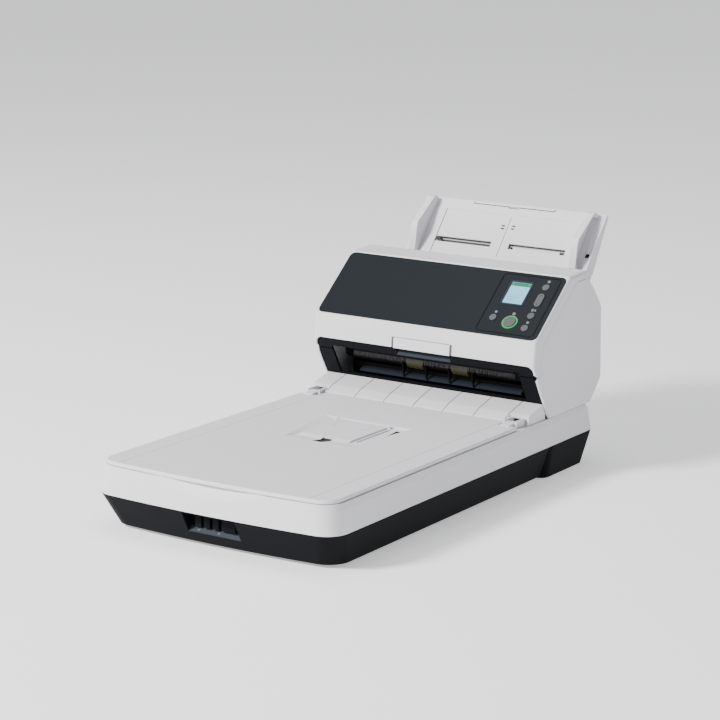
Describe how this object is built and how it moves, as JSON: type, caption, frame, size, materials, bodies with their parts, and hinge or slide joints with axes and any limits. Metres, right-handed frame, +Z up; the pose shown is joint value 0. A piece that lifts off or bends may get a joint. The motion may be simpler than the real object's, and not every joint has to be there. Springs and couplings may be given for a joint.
{
  "type": "sheet fed document scanner",
  "caption": "Sheet fed document scanner with an A4 flatbed, hinged lid, sloped control panel, opening feeder cover and a paper chute with side guides.",
  "frame": {"origin": "floor under the middle of the whole machine's bounding box", "axes": "+X to the user's right, +Y to the back, +Z up"},
  "size_m": [0.3, 0.6301, 0.2801],
  "materials": {
    "shell_light": "fine satin",
    "case_dark": "matte grain",
    "inner_dark": "matte",
    "strip_slate": "satin",
    "panel_dark": "satin",
    "key_grey": "satin",
    "ring_green": "translucent",
    "screen_glass": "lit display",
    "clear_glass": "polished",
    "rubber_foot": "matte",
    "roller_olive": "satin",
    "roller_dark": "matte",
    "belt_rubber": "matte",
    "steel": "ground",
    "motor_metal": "satin",
    "brass_pulley": "turned",
    "board_green": "solder mask",
    "socket_black": "moulded",
    "lamp_white": "diffuser",
    "pad_white": "foam sheet",
    "brush_fibre": "conductive tinsel"
  },
  "bodies": {
    "base": {"base_lower_case": "case_dark", "base_upper_frame": "shell_light", "document_glass": "clear_glass", "foot_front_left": "rubber_foot", "foot_front_right": "rubber_foot", "foot_rear_left": "rubber_foot", "foot_rear_right": "rubber_foot", "exit_ramp": "shell_light", "guide_rod": "steel", "drive_belt": "belt_rubber", "carriage_motor": "motor_metal", "main_board": "board_green", "power_inlet": "socket_black", "usb_port": "socket_black", "lock_plate": "strip_slate", "lid_pin_left": "steel", "lid_pin_right": "steel", "side_cover_left": "shell_light", "side_cover_right": "shell_light", "rear_cover": "shell_light", "feeder_frame": "inner_dark", "mouth_bezel": "case_dark", "exit_guide": "strip_slate", "feeder_scan_glass": "clear_glass", "feeder_motor": "motor_metal", "feeder_belt": "belt_rubber", "chute_tray": "shell_light"},
    "lock": {"lock_switch": "case_dark"},
    "carriage": {"scan_carriage": "inner_dark", "carriage_lamp": "lamp_white"},
    "belt_pulley": {"drive_pulley": "brass_pulley"},
    "lid": {"document_lid": "shell_light", "lid_backing_pad": "pad_white", "lid_hinge_left": "shell_light", "lid_hinge_right": "shell_light"},
    "stopper": {"stopper_flap": "shell_light"},
    "pick_unit": {"pick_rollers": "roller_dark", "pick_shaft": "steel"},
    "feed_unit": {"feed_rollers": "roller_olive", "feed_shaft": "steel"},
    "cover": {"top_cover": "shell_light", "cover_chin": "case_dark", "antistatic_brush": "brush_fibre", "upper_guide": "inner_dark", "control_panel": "panel_dark", "display_bezel": "strip_slate", "display_screen": "screen_glass", "scan_light_ring": "ring_green"},
    "exit_unit": {"exit_rollers": "roller_olive"},
    "brake_unit": {"brake_rollers": "roller_dark"},
    "lever": {"cover_lever": "shell_light"},
    "menu_key": {"menu_button": "key_grey"},
    "arrow_key": {"arrow_rocker": "key_grey"},
    "manual_key": {"manual_feed_button": "key_grey"},
    "power_key": {"power_button": "key_grey"},
    "stop_key": {"stop_button": "key_grey"},
    "scan_key": {"scan_button": "key_grey"},
    "guide_left": {"side_guide_left": "shell_light"},
    "guide_right": {"side_guide_right": "shell_light"},
    "extension": {"chute_extension": "shell_light"}
  },
  "joints": [
    {"name": "lid_hinge", "type": "hinge", "parent": "base", "child": "lid", "pos_m": [0, 0.0786, 0.0722], "axis": [-1, 0, 0], "range_deg": [0, 75]},
    {"name": "stopper_hinge", "type": "hinge", "parent": "lid", "child": "stopper", "pos_m": [-0.0055, -0.0133, 0.0728], "axis": [-1, 0, 0], "range_deg": [0, 85]},
    {"name": "cover_hinge", "type": "hinge", "parent": "base", "child": "cover", "pos_m": [0, 0.2166, 0.221], "axis": [-1, 0, 0], "range_deg": [0, 68]},
    {"name": "lever_hinge", "type": "hinge", "parent": "cover", "child": "lever", "pos_m": [0, 0.101, 0.1458], "axis": [-1, 0, 0], "range_deg": [0, 12], "stiffness_Nm_per_rad": 0.06, "springref_deg": -8.59},
    {"name": "menu_press", "type": "slide", "parent": "cover", "child": "menu_key", "axis": [0, 0.6259, -0.7799], "range_m": [0, 0.0011], "stiffness_N_per_m": 500, "springref_m": -0.0004},
    {"name": "manual_press", "type": "slide", "parent": "cover", "child": "manual_key", "axis": [0, 0.6259, -0.7799], "range_m": [0, 0.0011], "stiffness_N_per_m": 500, "springref_m": -0.0004},
    {"name": "power_press", "type": "slide", "parent": "cover", "child": "power_key", "axis": [0, 0.6259, -0.7799], "range_m": [0, 0.0011], "stiffness_N_per_m": 500, "springref_m": -0.0004},
    {"name": "stop_press", "type": "slide", "parent": "cover", "child": "stop_key", "axis": [0, 0.6259, -0.7799], "range_m": [0, 0.0011], "stiffness_N_per_m": 500, "springref_m": -0.0004},
    {"name": "scan_press", "type": "slide", "parent": "cover", "child": "scan_key", "axis": [0, 0.6259, -0.7799], "range_m": [0, 0.0011], "stiffness_N_per_m": 500, "springref_m": -0.0004},
    {"name": "arrow_rock", "type": "hinge", "parent": "cover", "child": "arrow_key", "pos_m": [0.1238, 0.14951, 0.19799], "axis": [1, 0, 0], "range_deg": [-3.5, 3.5], "stiffness_Nm_per_rad": 0.03},
    {"name": "exit_spin", "type": "hinge", "parent": "cover", "child": "exit_unit", "pos_m": [0, 0.1429, 0.1122], "axis": [-1, 0, 0], "continuous": true},
    {"name": "brake_spin", "type": "hinge", "parent": "cover", "child": "brake_unit", "pos_m": [0, 0.217, 0.1797], "axis": [-1, 0, 0], "continuous": true},
    {"name": "pick_spin", "type": "hinge", "parent": "base", "child": "pick_unit", "pos_m": [0, 0.2293, 0.1612], "axis": [1, 0, 0], "continuous": true},
    {"name": "feed_spin", "type": "hinge", "parent": "base", "child": "feed_unit", "pos_m": [0, 0.1692, 0.1099], "axis": [1, 0, 0], "continuous": true},
    {"name": "lock_slide", "type": "slide", "parent": "base", "child": "lock", "axis": [-1, 0, 0], "range_m": [0, 0.0066]},
    {"name": "carriage_slide", "type": "slide", "parent": "base", "child": "carriage", "axis": [0, 1, 0], "range_m": [0, 0.285]},
    {"name": "belt_drive", "type": "hinge", "parent": "base", "child": "belt_pulley", "pos_m": [-0.02, 0.0329, 0.026], "axis": [0, 0, 1], "continuous": true},
    {"name": "guide_left_slide", "type": "slide", "parent": "base", "child": "guide_left", "axis": [1, 0, 0], "range_m": [0, 0.066]},
    {"name": "guide_right_slide", "type": "slide", "parent": "base", "child": "guide_right", "axis": [-1, 0, 0], "range_m": [0, 0.066]},
    {"name": "extension_slide", "type": "slide", "parent": "base", "child": "extension", "axis": [0, 0.6414, 0.7672], "range_m": [0, 0.034]}
  ],
  "couplings": [
    {"joint": "feed_spin", "follows": "pick_spin", "ratio": 1},
    {"joint": "guide_right_slide", "follows": "guide_left_slide", "ratio": 1},
    {"joint": "belt_drive", "follows": "carriage_slide", "rad_per_m": 136.99}
  ]
}
